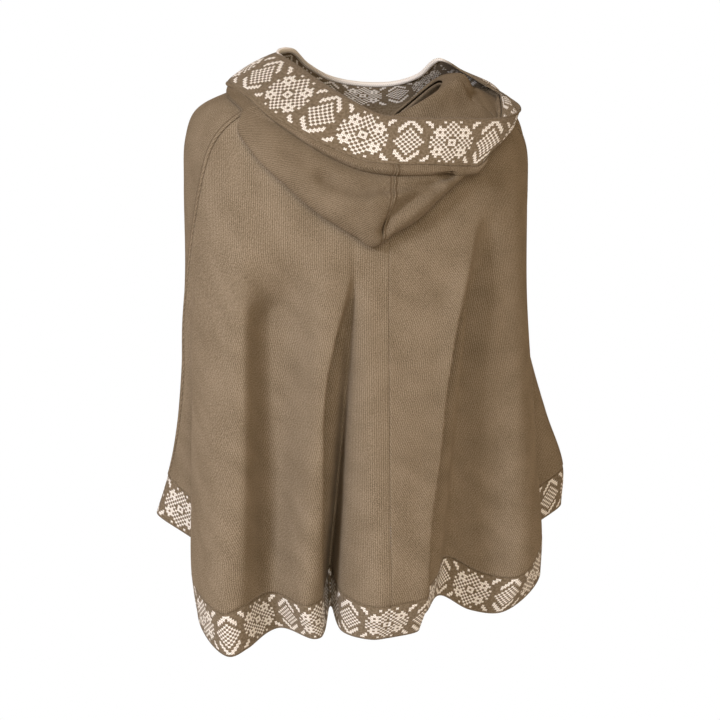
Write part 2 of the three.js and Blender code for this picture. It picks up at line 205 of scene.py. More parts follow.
# %% The hood in numbers
# neck_u: place on the neck seam, counted in folds. rise, out: the turned-back top of the root there.
# edge_u, edge_row: where the bag's lower edge lies on the back. belly: how far the bag bulges.
# bx, by, bz: the seam with the band. strip: how deep the cloth folds under that seam, as a share.
# tx, ty, tz: the top of the band. swell: its bulge. roll: how far its free edge turns in.
HOOD = [
    # name neck_u rise out edge_u edge_row belly bx by bz strip tx ty tz swell roll
    ("centre", 0, 5, 5, 0.5, 4.12, 22, 3, -180, -126, 1, 24, -149, -63, 6, 12),
    ("back_left1", 4, 5, 5, 2.6, 4.1, 24, -38, -170, -121, 1, -8, -139, -58, 6, 12),
    ("back_left2", 6, 5, 5, 5.2, 3.94, 22, -75, -158, -106, 1, -28, -126, -47, 6, 12),
    ("back_left3", 8, 5, 5, 6.6, 3.4, 16, -115, -145, -85, 0.8, -50, -104, -31, 6, 12),
    ("back_left4", 11, 5, 5, 8.6, 2.7, 9, -150, -121, -60, 0.6, -73, -68, -10, 6, 10),
    ("back_left5", 12, 6, 5, 10.8, 1.9, 5, -171, -85, -33, 0.6, -100, -30, 16, 6, 8),
    ("left", 13, 8, 6, 12.4, 1.2, 2, -187, -2, -9, 0.5, -116, 2, 33, 8, 4),
    ("front_left1", 14, 8, 6, 13.6, 0.7, 0, -146, 58, -14, 0.45, -86, 38, 40, 8, 0),
    ("front_left2", 15, 3, 3, 14.9, 0.5, 3, -92, 102, -46, 0.45, -54, 77, 24, 6, 0),
    ("front_left3", 16, 4, 1, 16.3, 0.5, 5, -36, 118, -60, 0.45, -12, 105, 9, 6, 0),
    ("front", 17, 4, 1, 17.4, 0.5, 5, 22, 122, -66, 0.45, 34, 107, 2, 6, 0),
    ("front_right3", 18, 4, 1, 18.3, 0.5, 5, 88, 114, -60, 0.45, 79, 88, 2, 6, 0),
    ("front_right2", 19, 3, 3, 19.1, 0.5, 3, 140, 82, -32, 0.45, 107, 53, 11, 8, 0),
    ("front_right1", 20, 6, 5, 20.4, 0.7, 0, 174, 34, -8, 0.45, 124, 4, 30, 8, 0),
    ("right", 20.9, 7, 8, 21.6, 1.2, 1, 202, -18, -12, 0.45, 150, -18, 12, 10, 0),
    ("fold_b", 21.8, 10, 28, 23.7, 1.55, 1, 186, -88, -36, 0.45, 178, -53, -12, 8, 0),
    ("crease", 22.5, 5, 16, 25.6, 2.05, 1, 170, -127, -63, 0.45, 196, -82, -29, 10, 0),
    ("fold_a", 23.3, 17, 30, 27, 2.65, 1, 150, -148, -97, 0.45, 205, -107, -45, 10, 0),
    ("fold_end", 25, 14, 22, 28.3, 3, 2, 124, -166, -126, 0.6, 174, -136, -58, 8, 4),
    ("back_right3", 27, 13, 20, 29, 3.1, 8, 108, -168, -127, 0.8, 136, -151, -63, 6, 6),
    ("back_right2", 28.6, 10, 14, 30, 3.4, 14, 80, -175, -127, 1, 96, -157, -63, 6, 10),
    ("back_right1", 30, 6, 6, 30.6, 3.88, 20, 45, -179, -126, 1, 60, -157, -64, 6, 12),
]
ROOT_GAP = 1.5
BAG_CLEARANCE = 4
# From the neck seam down to the next ring.
NECK_TO_SLOPE = 60
# How far the cloth folds down and in under the seam with the band.
STRIP_DROP = 14
STRIP_TUCK = 13
# A belly counts up to this much at the bag's edge, and a free edge is fully turned from this roll.
EDGE_BELLY = 14
FULL_ROLL = 5
# Where the knots lie between the neck and the bag's edge, as shares.
UNDER = (0.15, 0.4, 0.65, 0.87)
# Where they lie between the edge and the tuck under the band, and how full the bag is there.
BAG = ((0.12, 0.55), (0.45, 1), (0.8, 0.75))
# Numbers of the knots at the seam with the band and at the band's free edge.
HOOD_SEAM = 13
HOOD_TOP = 16
FRONT_SHARE = [row[0] for row in HOOD].index("front") / len(HOOD)
print(len(HOOD), "lines round the hood, with its front at", round(FRONT_SHARE, 3), "of the way")

# %% [markdown]
# The hood lies on the back, so part of its path is measured from the drape. Shrinkwrap could lay one
# cloth on another in the editor. Here a point of the drape is worked out, and then moved along the
# drape's own normal, so that the hood's clearance is known.


# %% Points on and off the drape
def upright(points):
    """The level directions out from the origin."""
    flat = points * np.array([1, 1, 0])
    return flat / np.linalg.norm(flat, axis=-1, keepdims=True)


def drape_at(turns, rows):
    """One point of the drape for each pair of a turn and a row."""
    lines = through(ROUNDS, np.asarray(turns, float) % len(FOLDS), closed=True)
    return np.array([through(line, [row])[0] for line, row in zip(lines, rows)])


def off_drape(turns, rows, distance):
    """Points that stand off the drape."""
    turns, rows = np.asarray(turns, float), np.asarray(rows, float)
    across = drape_at(turns + 0.1, rows) - drape_at(turns - 0.1, rows)
    down = drape_at(turns, rows + 0.05) - drape_at(turns, np.maximum(rows - 0.05, 0))
    out = np.cross(across, down)
    out /= np.linalg.norm(out, axis=-1, keepdims=True)
    return drape_at(turns, rows) + out * np.reshape(distance, (-1, 1))


print("4 mm off the back, low under the hood:", off_drape([0], [4], BAG_CLEARANCE).round(0).tolist())

# %% [markdown]
# Each line of the hood then gets its knots, from the neck seam to the band's free edge. The table is
# read at any share of the way round, so the lines can be as many as a grid has columns. The hood and
# its band share the lines, and their edges meet.


# %% The hood's cloth
def hood_knots(shares):
    """Knots [number, column, axis] of the hood and its band, at shares of the way round."""
    values = np.array([row[1:] for row in HOOD], float)
    turned = np.arange(len(HOOD)) / len(HOOD) * len(FOLDS)
    at = np.asarray(shares) * len(HOOD)

    def value(*columns):
        return through(values[:, columns], at, closed=True)

    values[:, 0] -= turned
    values[:, 3] -= turned
    turn = np.asarray(shares) * len(FOLDS)
    neck_u, edge_u, edge_row = value(0, 3, 4).T
    neck_u, edge_u = neck_u + turn, edge_u + turn
    rise, out, belly = value(1, 2, 5).T
    strip, swell_by, roll = value(9, 13, 14).T
    seam, top = value(6, 7, 8), value(10, 11, 12)
    up = np.array([0, 0, 1.0])
    start = drape_at(neck_u, 0 * neck_u) + ROOT_GAP * up
    turned_back = start + upright(start) * out[:, None] + rise[:, None] * up
    top_row = (out + BAG_CLEARANCE) / NECK_TO_SLOPE
    under = [
        off_drape(
            neck_u + (edge_u - neck_u) * part,
            top_row + (edge_row - top_row) * part,
            BAG_CLEARANCE + 0 * turn,
        )
        for part in UNDER
    ]
    edge = off_drape(edge_u, edge_row, BAG_CLEARANCE + np.minimum(belly, EDGE_BELLY) * 0.35)
    outward = upright(seam)

    def folded(out_by, down):
        return seam + outward * (out_by * strip)[:, None] - up * (down * strip)[:, None]

    tuck = folded(-STRIP_TUCK, STRIP_DROP / 2)
    bag = [
        edge + (tuck - edge) * part + outward * (belly * fullness)[:, None]
        for part, fullness in BAG
    ]
    strap = [folded(-STRIP_TUCK / 3, STRIP_DROP), folded(STRIP_TUCK / 4, STRIP_DROP / 2)]
    roll = np.maximum(roll, 0)[:, None]
    rolled = np.minimum(roll / FULL_ROLL, 1)
    swell = (seam + top) / 2 + outward * swell_by[:, None]
    turned_in = top - upright(top) * roll - up * roll / 2
    band = [
        swell,
        swell + (top - swell) * (0.55 + 0.45 * rolled),
        top + (turned_in - top) * rolled,
    ]
    knots = [start, turned_back, *under, edge, *bag, tuck, *strap, seam, *band]
    return np.array(knots)


def hood_cloth(shares, places):
    """Points [column, row, axis] of the hood's cloth."""
    return through(hood_knots(shares), places).transpose(1, 0, 2)


print("the band's seam at the centre back:", hood_cloth([0], [HOOD_SEAM]).round(0).tolist())

# %% [markdown]
# A grid of points is measured before it is cloth: the running length along it sets the stitches, its
# normals say which way is out, and its area is what a maker would cut.


# %% Measures of a grid
def spacing(points, axis):
    """Running length in millimetres along one axis of a grid of points."""
    steps = np.linalg.norm(np.diff(points, axis=axis), axis=-1)
    zero = np.zeros_like(np.take(steps, [0], axis=axis))
    return np.concatenate([zero, np.cumsum(steps, axis=axis)], axis=axis)


def facing(points, closed=False):
    """Unit normals of a grid of points, outwards for columns that go round by the left."""
    around = np.concatenate([points[-2:-1], points, points[1:2]]) if closed else points
    across = np.gradient(around, axis=0)
    across = across[1:-1] if closed else across
    out = np.cross(across, np.gradient(points, axis=1))
    return out / np.maximum(np.linalg.norm(out, axis=-1, keepdims=True), 1e-9)


def area_of(points):
    """Area of a grid of points, in square metres."""
    a, b = points[1:, :-1] - points[:-1, :-1], points[:-1, 1:] - points[:-1, :-1]
    return float(np.linalg.norm(np.cross(a, b), axis=-1).sum()) * MM * MM


whole_drape = drape(np.arange(len(FOLDS) + 1), np.arange(HEM_EDGE + 1))
print("the drape down to its hem, roughly:", round(area_of(whole_drape), 2), "m2")

# %% [markdown]
# Every piece of cloth starts as a flat grid, which is how cloth is cut, and each point of the grid is
# then moved to its place on the surface. The grid's columns and rows stay known, so the same step can
# lay down a UV map for the knit, and the distance to the nearest stitched seam. A Solidify modifier
# gives the cloth its thickness, behind the side that shows.


# %% From a flat grid to a piece of cloth
def cloth(name, points, maps, material, chart=None, closed=False):
    """A piece of cloth on points[column, row]. maps holds a value for each point: across and down for
    the UV map, and seam where the material needs it. chart holds the yarn of each stitch."""
    columns, rows = points.shape[:2]
    mesh = bmesh.new()
    bmesh.ops.create_grid(mesh, x_segments=columns - 1, y_segments=rows - 1, size=1)
    seam = mesh.verts.layers.float.new("seam") if "seam" in maps else None
    uv = mesh.loops.layers.uv.new("cloth")
    yarn = mesh.faces.layers.float.new("yarn")
    place = {}
    for vert in mesh.verts:
        i = round((vert.co.x + 1) / 2 * (columns - 1))
        j = round((vert.co.y + 1) / 2 * (rows - 1))
        place[vert] = (i, j)
        if seam is not None:
            vert[seam] = maps["seam"][i, j]
    for face in mesh.faces:
        corners = [place[loop.vert] for loop in face.loops]
        for loop, (i, j) in zip(face.loops, corners):
            loop[uv].uv = (maps["across"][i, j], maps["down"][i, j])
        if chart is not None:
            i, j = min(corners)
            face[yarn] = chart[i % len(chart), j]
    for vert, (i, j) in place.items():
        vert.co = Vector(points[i, j] * MM)
    if closed:
        bmesh.ops.remove_doubles(mesh, verts=mesh.verts, dist=0.02 * MM)
    data = bpy.data.meshes.new(name)
    mesh.to_mesh(data)
    mesh.free()
    data.shade_smooth()
    piece = bpy.data.objects.new(name, data)
    bpy.context.collection.objects.link(piece)
    data.materials.append(material)
    return piece


def wall(piece, thickness=WALL):
    """The cloth's thickness, behind its right side."""
    solid = piece.modifiers.new("thickness", "SOLIDIFY")
    solid.thickness = thickness * MM
    solid.offset = -1
    return piece


print("a wall of cloth is", WALL, "mm thick")

# %% [markdown]
# Materials are trees of shader nodes. They could be wired by hand in the shader editor. One small
# function that adds a node with its settings and links keeps such a tree readable in a script, and
# another turns hex colours to the linear values that Blender works with.


# %% Shader helpers
def linear(code):
    """An sRGB hex colour as linear RGBA."""
    parts = [int(code[i : i + 2], 16) / 255 for i in (1, 3, 5)]
    return tuple(c / 12.92 if c <= 0.04045 else ((c + 0.055) / 1.055) ** 2.4 for c in parts) + (1,)


def add(tree, kind, settings=None, links=None):
    """Adds a node. settings are its properties, links its inputs' values or the sockets they take."""
    node = tree.nodes.new(kind)
    for key, value in (settings or {}).items():
        setattr(node, key, value)
    for key, value in (links or {}).items():
        if isinstance(value, bpy.types.NodeSocket):
            tree.links.new(value, node.inputs[key])
        else:
            node.inputs[key].default_value = value
    return node


def new_material(name):
    """A material and its node tree, with only the output and the main shader."""
    material = bpy.data.materials.new(name)
    material.use_nodes = True
    return material, material.node_tree, material.node_tree.nodes["Principled BSDF"]


print("mid grey in linear light:", [round(value, 3) for value in linear("#808080")])

# %% [markdown]
# The plain cloth is a fine wool knit of heathered yarn: light and dark fibres are spun together, so
# it looks mottled from close up. It was lightly fulled, which gives a soft nap and takes away all
# shine. An image of cloth could be laid on it. Noise on the cloth's own UV map, in millimetres, never
# repeats and follows the folds. A seam shows as a darker line of stitches beside it.

# %% Heathered wool
# Fibres show as flecks about 1.3 mm wide: real ones are finer, and would be lost in the render.
FLECK = 1.3
# Wales are the knit's upright ribs. A wave texture repeats each 0.314 of its own units.
WALE = 3.0
WAVE_TURN = 0.314
# Slow changes of tone, as from handling, are about this wide.
PATCH = 45


def wool(name, light, middle, dark, grain_turn, line_at):
    """Fulled knit in three yarn colours. grain_turn: the grain's angle, in radians. line_at: how far
    from the seam its stitches lie, in millimetres."""
    material, tree, shader = new_material(name)
    uv = add(tree, "ShaderNodeUVMap", {"uv_map": "cloth"}).outputs["UV"]
    turned = add(tree, "ShaderNodeMapping", None, {"Vector": uv, "Rotation": (0, 0, grain_turn)})
    turned = turned.outputs["Vector"]
    flecks = add(
        tree,
        "ShaderNodeTexNoise",
        None,
        {"Vector": turned, "Scale": 1 / FLECK, "Detail": 2.0, "Roughness": 0.7},
    ).outputs["Fac"]
    wales = add(
        tree,
        "ShaderNodeTexWave",
        {"wave_type": "BANDS", "bands_direction": "X"},
        {
            "Vector": turned,
            "Scale": WAVE_TURN / WALE,
            "Distortion": 3.0,
            "Detail": 2.0,
            "Detail Scale": 3.0,
            "Detail Roughness": 0.7,
        },
    ).outputs["Fac"]
    patches = add(
        tree, "ShaderNodeTexNoise", None, {"Vector": turned, "Scale": 1 / PATCH, "Detail": 3.0}
    ).outputs["Fac"]
    fibres = add(
        tree, "ShaderNodeMix", {"data_type": "FLOAT"}, {"Factor": 0.14, "A": flecks, "B": wales}
    ).outputs["Result"]
    mottled = add(
        tree, "ShaderNodeMix", {"data_type": "FLOAT"}, {"Factor": 0.15, "A": fibres, "B": patches}
    ).outputs["Result"]
    ramp = add(tree, "ShaderNodeValToRGB", None, {"Fac": mottled})
    stops = ramp.color_ramp.elements
    stops[0].position, stops[0].color = 0.38, linear(dark)
    stops[1].position, stops[1].color = 0.62, linear(light)
    stops.new(0.5).color = linear(middle)
    # The line of stitches lies where the distance to the seam is line_at.
    seam = add(tree, "ShaderNodeAttribute", {"attribute_name": "seam"}).outputs["Fac"]
    off_line = add(
        tree, "ShaderNodeMath", {"operation": "SUBTRACT"}, {0: seam, 1: line_at}
    ).outputs["Value"]
    off_line = add(tree, "ShaderNodeMath", {"operation": "ABSOLUTE"}, {0: off_line}).outputs["Value"]
    line = add(
        tree,
        "ShaderNodeMapRange",
        {"interpolation_type": "SMOOTHSTEP"},
        {"Value": off_line, "From Min": 0.3, "From Max": 1.9, "To Min": 1.0, "To Max": 0.0},
    ).outputs["Result"]
    line_share = add(tree, "ShaderNodeMath", {"operation": "MULTIPLY"}, {0: line, 1: 0.75})
    shaded = add(
        tree,
        "ShaderNodeMix",
        {"data_type": "RGBA"},
        {
            "Factor": line_share.outputs["Value"],
            "A": ramp.outputs["Color"],
            "B": linear("#5a4a36"),
        },
    )
    tree.links.new(shaded.outputs["Result"], shader.inputs["Base Color"])
    # The fibres stand up a little, and the stitches pull the cloth down.
    dented = add(
        tree, "ShaderNodeMath", {"operation": "MULTIPLY_ADD"}, {0: line, 1: -1.6, 2: fibres}
    ).outputs["Value"]
    bump = add(
        tree, "ShaderNodeBump", None, {"Height": dented, "Strength": 0.5, "Distance": 0.6 * MM}
    )
    tree.links.new(bump.outputs["Normal"], shader.inputs["Normal"])
    shader.inputs["Roughness"].default_value = 0.95
    shader.inputs["IOR"].default_value = 1.54
    shader.inputs["Specular IOR Level"].default_value = 0.15
    shader.inputs["Sheen Weight"].default_value = 0.12
    shader.inputs["Sheen Roughness"].default_value = 0.6
    shader.inputs["Sheen Tint"].default_value = linear("#c9b79c")
    return material


WOOL_BACK = wool("fulled_wool_knit_back", "#9f907b", "#83755f", "#5c4f3c", 0.0, 3.0)
WOOL_FRONT = wool("fulled_wool_knit_front", "#9b8c77", "#80725c", "#594c3a", 0.35, 7.4)
# The hood's wool is a little darker than the back's.
WOOL_HOOD = wool("fulled_wool_knit_hood", "#93846f", "#786a55", "#544836", 0.15, 4.0)
print("wool materials:", [material.name for material in (WOOL_BACK, WOOL_FRONT, WOOL_HOOD)])

# %% [markdown]
# The bands are jacquard, knitted in two colours. Each stitch has one colour, so the pattern is a
# chart: a row of stitches for each line. It is a traditional star and diamond, drawn here from
# the centre outwards, and mirrored to both sides and downwards.

# %% The chart
STAR = [
    ".#..#.#.#.",
    "##.#.#.#..",
    "..#.#.#.#.",
    ".#.####...",
    "#.#.#.##..",
    ".#.####...",
    "#.#..#..#.",
    ".#......##",
    "#..#.....#",
]
DIAMOND = [
    ".#.#.#.",
    "#.#.#..",
    ".#.#...",
    "#.#....",
    ".#..#..",
    "#..##..",
    "..##...",
    ".##....",
    "##....#",
]


def whole(quarter):
    """Mirrors a quarter chart to its full width and height, as rows of ones and zeros."""
    rows = [[1 if mark == "#" else 0 for mark in line] for line in quarter]
    rows = [row[:0:-1] + row for row in rows]
    return np.array(rows[:0:-1] + rows)


CHART = np.concatenate([whole(STAR), whole(DIAMOND)], axis=1)
print("chart of", CHART.shape[1], "stitches by", CHART.shape[0], "rows")

# %% [markdown]
# A stitch seen from its right side is a V. The material draws two slanting strokes in each face of
# the grid, and the ground colour shows between them. The colour comes from a value on each face.


# %% Jacquard knit
def jacquard(name, ground, shade, cream):
    """Two-colour knit whose UV map counts stitches. The face value yarn is 0 for the ground and 1 for
    cream, and more than 1 where the cream stitches lie so close that no ground shows."""
    material, tree, shader = new_material(name)
    uv = add(tree, "ShaderNodeUVMap", {"uv_map": "cloth"}).outputs["UV"]
    yarn = add(tree, "ShaderNodeAttribute", {"attribute_name": "yarn"}).outputs["Fac"]
    parts = add(tree, "ShaderNodeSeparateXYZ", None, {"Vector": uv})
    side = add(tree, "ShaderNodeMath", {"operation": "FRACT"}, {0: parts.outputs["X"]}).outputs[0]
    side = add(tree, "ShaderNodeMath", {"operation": "SUBTRACT"}, {0: side, 1: 0.5}).outputs[0]
    side = add(tree, "ShaderNodeMath", {"operation": "ABSOLUTE"}, {0: side}).outputs[0]
    # The strokes climb from the middle of the stitch to its sides.
    slant = add(
        tree,
        "ShaderNodeMath",
        {"operation": "MULTIPLY_ADD"},
        {0: side, 1: 1.0, 2: parts.outputs["Y"]},
    ).outputs[0]
    slant = add(tree, "ShaderNodeMath", {"operation": "FRACT"}, {0: slant}).outputs[0]
    along = add(tree, "ShaderNodeMath", {"operation": "SUBTRACT"}, {0: slant, 1: 0.5}).outputs[0]
    along = add(tree, "ShaderNodeMath", {"operation": "POWER"}, {0: along, 1: 2.0}).outputs[0]
    aside = add(tree, "ShaderNodeMath", {"operation": "SUBTRACT"}, {0: side, 1: 0.25}).outputs[0]
    aside = add(tree, "ShaderNodeMath", {"operation": "POWER"}, {0: aside, 1: 2.0}).outputs[0]
    near = add(
        tree, "ShaderNodeMath", {"operation": "MULTIPLY_ADD"}, {0: aside, 1: 3.4, 2: along}
    ).outputs[0]
    stroke = add(
        tree,
        "ShaderNodeMapRange",
        {"interpolation_type": "SMOOTHSTEP"},
        {"Value": near, "From Min": 0.13, "From Max": 0.4, "To Min": 1.0, "To Max": 0.0},
    ).outputs["Result"]
    # The ground yarn is heathered too, and changes tone about once in each stitch.
    fuzz = add(
        tree, "ShaderNodeTexNoise", None, {"Vector": uv, "Scale": 1.1, "Detail": 2.0}
    ).outputs["Fac"]
    tint = add(tree, "ShaderNodeValToRGB", None, {"Fac": fuzz})
    stops = tint.color_ramp.elements
    stops[0].position, stops[0].color = 0.35, linear(shade)
    stops[1].position, stops[1].color = 0.65, linear(ground)
    light = add(
        tree, "ShaderNodeMath", {"operation": "MULTIPLY", "use_clamp": True}, {0: stroke, 1: yarn}
    ).outputs[0]
    mixed = add(
        tree,
        "ShaderNodeMix",
        {"data_type": "RGBA"},
        {"Factor": light, "A": tint.outputs["Color"], "B": linear(cream)},
    )
    tree.links.new(mixed.outputs["Result"], shader.inputs["Base Color"])
    bump = add(
        tree, "ShaderNodeBump", None, {"Height": stroke, "Strength": 0.6, "Distance": 0.7 * MM}
    )
    tree.links.new(bump.outputs["Normal"], shader.inputs["Normal"])
    shader.inputs["Roughness"].default_value = 0.95
    shader.inputs["IOR"].default_value = 1.54
    shader.inputs["Specular IOR Level"].default_value = 0.15
    shader.inputs["Sheen Weight"].default_value = 0.1
    shader.inputs["Sheen Roughness"].default_value = 0.6
    return material


JACQUARD = jacquard("jacquard_wool_knit", "#8b7c66", "#6b5d47", "#fdf8ee")
print("jacquard material:", JACQUARD.name)

# %% [markdown]
# A sewn edge needs fine detail and the open cloth does not. A subdivided grid would be fine all over.
# Here the columns are laid out again at distances in millimetres, close together beside a seam and
# further apart elsewhere.

# %% Columns that crowd beside a seam
SEAM_GAP = 0.06
BESIDE_SEAM = (SEAM_GAP / 2, 1.2, 2.4, 3.6, 5, 6.8, 7.6, 9, 12, 16)


def resampled(points, stations):
    """The same cloth with its columns at other distances, in millimetres, from its first edge."""
    reach = spacing(points, 0)
    result = np.empty((len(stations(1.0)),) + points.shape[1:])
    for row in range(points.shape[1]):
        at = stations(reach[-1, row])
        for axis in range(3):
            result[:, row, axis] = np.interp(at, reach[:, row], points[:, row, axis])
    return result


def beside_both(count):
    """Stations that crowd beside both edges, with count more between."""
    beside = np.array(BESIDE_SEAM)

    def stations(length):
        middle = np.linspace(beside[-1], length - beside[-1], count + 2)[1:-1]
        return np.concatenate([beside, middle, (length - beside)[::-1]])

    return stations


def seam_distance(points, sides):
    """Distance in millimetres to the nearest of the named side edges, or far if none is stitched."""
    reach = spacing(points, 0)
    if not sides:
        return np.full(reach.shape, 99.0)
    ends = {"first": reach, "last": reach[-1] - reach}
    return np.minimum.reduce([ends[side] for side in sides])


print("columns of a panel 300 mm wide:", len(beside_both(20)(300)))

# %% [markdown]
# Heavy cloth leans over at some folds: the crest stays rounded on one side and drops sharply on the
# other. A sculpting brush could pinch it. Three crests are written down instead, each as a line down
# the back, and the cloth to the right of a line is pushed in.

# %% Crests that lean over
LEAN_LEFT = ((-210, -190), (-300, -192), (-790, -196))
LEAN_MIDDLE = ((-240, -46), (-300, -58), (-355, -72), (-408, -83), (-460, -88), (-790, -89))
LEAN_RIGHT = (
    *((-190, 130), (-245, 119), (-300, 106), (-358, 92)),
    *((-439, 79), (-520, 71), (-599, 57), (-790, 36)),
)
# In millimetres: how far the crest stands out and how wide it is, how deep the drop is, how wide its
# edge and how far its hollow reaches, then the crest's line as pairs of z and x.
CRESTS = (
    # rise width drop edge reach line
    (9, 24, 36, 46, 100, LEAN_LEFT),
    (4, 16, 28, 6, 26, LEAN_MIDDLE),
    (5, 20, 42, 6, 40, LEAN_RIGHT),
)
# A crest grows over this much of its line, and its edge is softer again near the hem.
CREST_GROWS = 110
HEM_LEVEL = -770
HEM_SOFTENS = 130
SOFT_EDGE = 4
# The crests belong to the back alone. They begin this far behind the shoulders and are whole twice as far.
BACK_FROM = 20


def leaned(points):
    """The back's cloth with its sharp crests raised and the hollows beside them pushed in."""
    x, y, z = points[..., 0], points[..., 1], points[..., 2]
    depth = np.zeros(x.shape)
    for rise, width, drop, edge, reach, line in CRESTS:
        heights, places = np.array(line, float).T
        beside = x - np.interp(-z, -heights, places)
        begun = np.clip((heights[0] - z) / CREST_GROWS, 0, 1)
        sharp = np.minimum(begun, np.clip((z - HEM_LEVEL) / HEM_SOFTENS, 0, 1))
        share = np.clip(beside / edge / (SOFT_EDGE - (SOFT_EDGE - 1) * sharp), 0, 1)
        hollow = drop * share**2 * (3 - 2 * share) * np.exp(-np.maximum(beside, 0) / reach)
        depth += begun * (hollow - rise * np.exp(-((beside / width) ** 2)))
    depth *= np.clip((-BACK_FROM - y) / BACK_FROM, 0, 1)
    return points + np.stack([0 * x, depth, 0 * x], axis=-1)


print("the deepest drop beside a crest:", max(crest[2] for crest in CRESTS), "mm")

# %% [markdown]
# The body is cut as two back panels and one front panel that wraps over both shoulders. Worn cloth is
# never quite smooth, so each panel gets soft uneven waves, as a Displace modifier would give. Stitches
# pull its edges down into a shallow groove, and a welt stands up beside each shoulder seam.

# %% Panels
BOTH_EDGES = ("first", "last")
PANEL_ROWS = np.concatenate([np.linspace(0, WAIST - 1, 56), np.linspace(WAIST - 1, HEM_SEAM, 90)[1:]])
WAVE_HEIGHT = 2.2
WAVE_REACH = 70
# The waves die out over this distance from a seam.
WAVE_FREE = 20
SEAM_DIP = 0.6
SEAM_DIP_REACH = 1.6
# A welt's width and rise, then how far it takes to rise and to fall, and how far past its width it ends.
SHOULDER_WELT = (7, 1.4)
WELT_CLIMB = 1.2
WELT_FALL = 0.8
WELT_END = 0.7


def undulate(points, normals, size, reach):
    """Soft uneven waves in the cloth, size millimetres high and longer down the cloth than across."""
    waves = np.array(
        [
            [noise.noise(Vector((x / reach, y / reach, z / (3 * reach)))) for x, y, z in column]
            for column in points
        ]
    )
    return points + normals * (waves * size)[..., None]


def panel(name, first, last, per_fold, material, stitched, welt=None):
    """A panel of the body between two folds. stitched: the edges beside which a line of stitches
    shows. welt: its width and rise along both edges."""
    turns = np.linspace(first, last, (last - first) * per_fold + 1)
    fine = drape(turns, PANEL_ROWS)
    grid = leaned(resampled(fine, beside_both((last - first) * per_fold)))
    out = facing(grid)
    distance = seam_distance(grid, BOTH_EDGES)
    free = np.minimum(distance / WAVE_FREE, 1)
    grid = undulate(grid, out * free[..., None], WAVE_HEIGHT, WAVE_REACH)
    raised = -SEAM_DIP * np.exp(-((distance / SEAM_DIP_REACH) ** 2))
    if welt:
        width, rise = welt
        climb = np.clip(distance / WELT_CLIMB, 0, 1)
        raised += rise * climb * np.clip((width + WELT_END - distance) / WELT_FALL, 0, 1)
    grid = grid + out * raised[..., None]
    seam = seam_distance(grid, stitched)
    maps = {"across": spacing(grid, 0), "down": spacing(grid, 1), "seam": seam}
    piece = wall(cloth(name, grid, maps, material))
    print(name, grid.shape[:2], "area", round(area_of(grid), 3), "m2")
    return piece, grid


BACK_LEFT, back_left_grid = panel("back_left_panel", 0, SEAM_LEFT, 12, WOOL_BACK, ())
FRONT, front_grid = panel(
    "front_panel", SEAM_LEFT, SEAM_RIGHT, 10, WOOL_FRONT, BOTH_EDGES, welt=SHOULDER_WELT
)
BACK_RIGHT, back_right_grid = panel("back_right_panel", SEAM_RIGHT, len(FOLDS), 12, WOOL_BACK, ())

# %% [markdown]
# A knitted band is a grid with one face for each stitch, so the stitches have to be evenly wide. The
# line along the band's middle is measured first, and the columns are set at equal steps along it. The
# pattern runs on across the centre back seam: one band ends one column before the other starts.

# %% Hem bands
STITCH = 3.5
HEM_BAND_ROWS = 19
# A band dips this deep at its sewn edge, and over this distance.
BAND_DIP = 0.8
BAND_DIP_REACH = 2.0


def even_shares(line_points, shares, stitch, multiple=1):
    """Shares at equal steps of about one stitch along a line, in whole multiples of the stitches."""
    run = spacing(line_points, 0)
    count = max(1, round(run[-1] / stitch / multiple)) * multiple
    return np.interp(np.linspace(0, run[-1], count + 1), run, shares)


def charted(columns, rows, start, before=0):
    """The yarn of each stitch: the plain rows named before it, the chart and plain rows again."""
    yarn = np.zeros((columns, rows))
    for i, first in enumerate(np.broadcast_to(before, columns)):
        yarn[i, first : first + len(CHART)] = CHART[:, (i + start) % CHART.shape[1]]
    return yarn


def hem_band(name, first, last, start=0, end=None):
    """A band between two folds. start or end: the chart's column at its first or last stitch."""
    turns = np.linspace(first, last, (last - first) * 20 + 1)
    middle = drape(turns, [(HEM_SEAM + HEM_EDGE) / 2])[:, 0]
    turns = even_shares(middle, turns, STITCH)
    rows = np.linspace(HEM_SEAM, HEM_EDGE, HEM_BAND_ROWS + 1)
    grid = leaned(drape(turns, rows))
    count = np.indices(grid.shape[:2])
    dip = BAND_DIP * np.exp(-((spacing(grid, 1) / BAND_DIP_REACH) ** 2))
    grid = grid - facing(grid) * dip[..., None]
    maps = {"across": count[0], "down": count[1]}
    # The last stitch's place in the chart gives the first one's.
    if end is not None:
        start = (end - len(grid) + 2) % CHART.shape[1]
    chart = charted(len(grid) - 1, HEM_BAND_ROWS, start, before=1)
    piece = wall(cloth(name, grid, maps, JACQUARD, chart=chart))
    print(name, "stitches", chart.shape, "area", round(area_of(grid), 3), "m2")
    return piece, grid


HEM_BACK_LEFT, hem_back_left_grid = hem_band("hem_band_back_left_knit", 0, SEAM_LEFT, start=9)
HEM_FRONT, hem_front_grid = hem_band("hem_band_front_knit", SEAM_LEFT, SEAM_RIGHT)
HEM_BACK_RIGHT, hem_back_right_grid = hem_band(
    "hem_band_back_right_knit", SEAM_RIGHT, len(FOLDS), end=8
)

# %% [markdown]
# A hood that lies down creases where it turns. Creases could be sculpted, and a line with a height and
# a width does the same by numbers: the cloth near the line is pushed in or raised, and less so the
# further away it is.

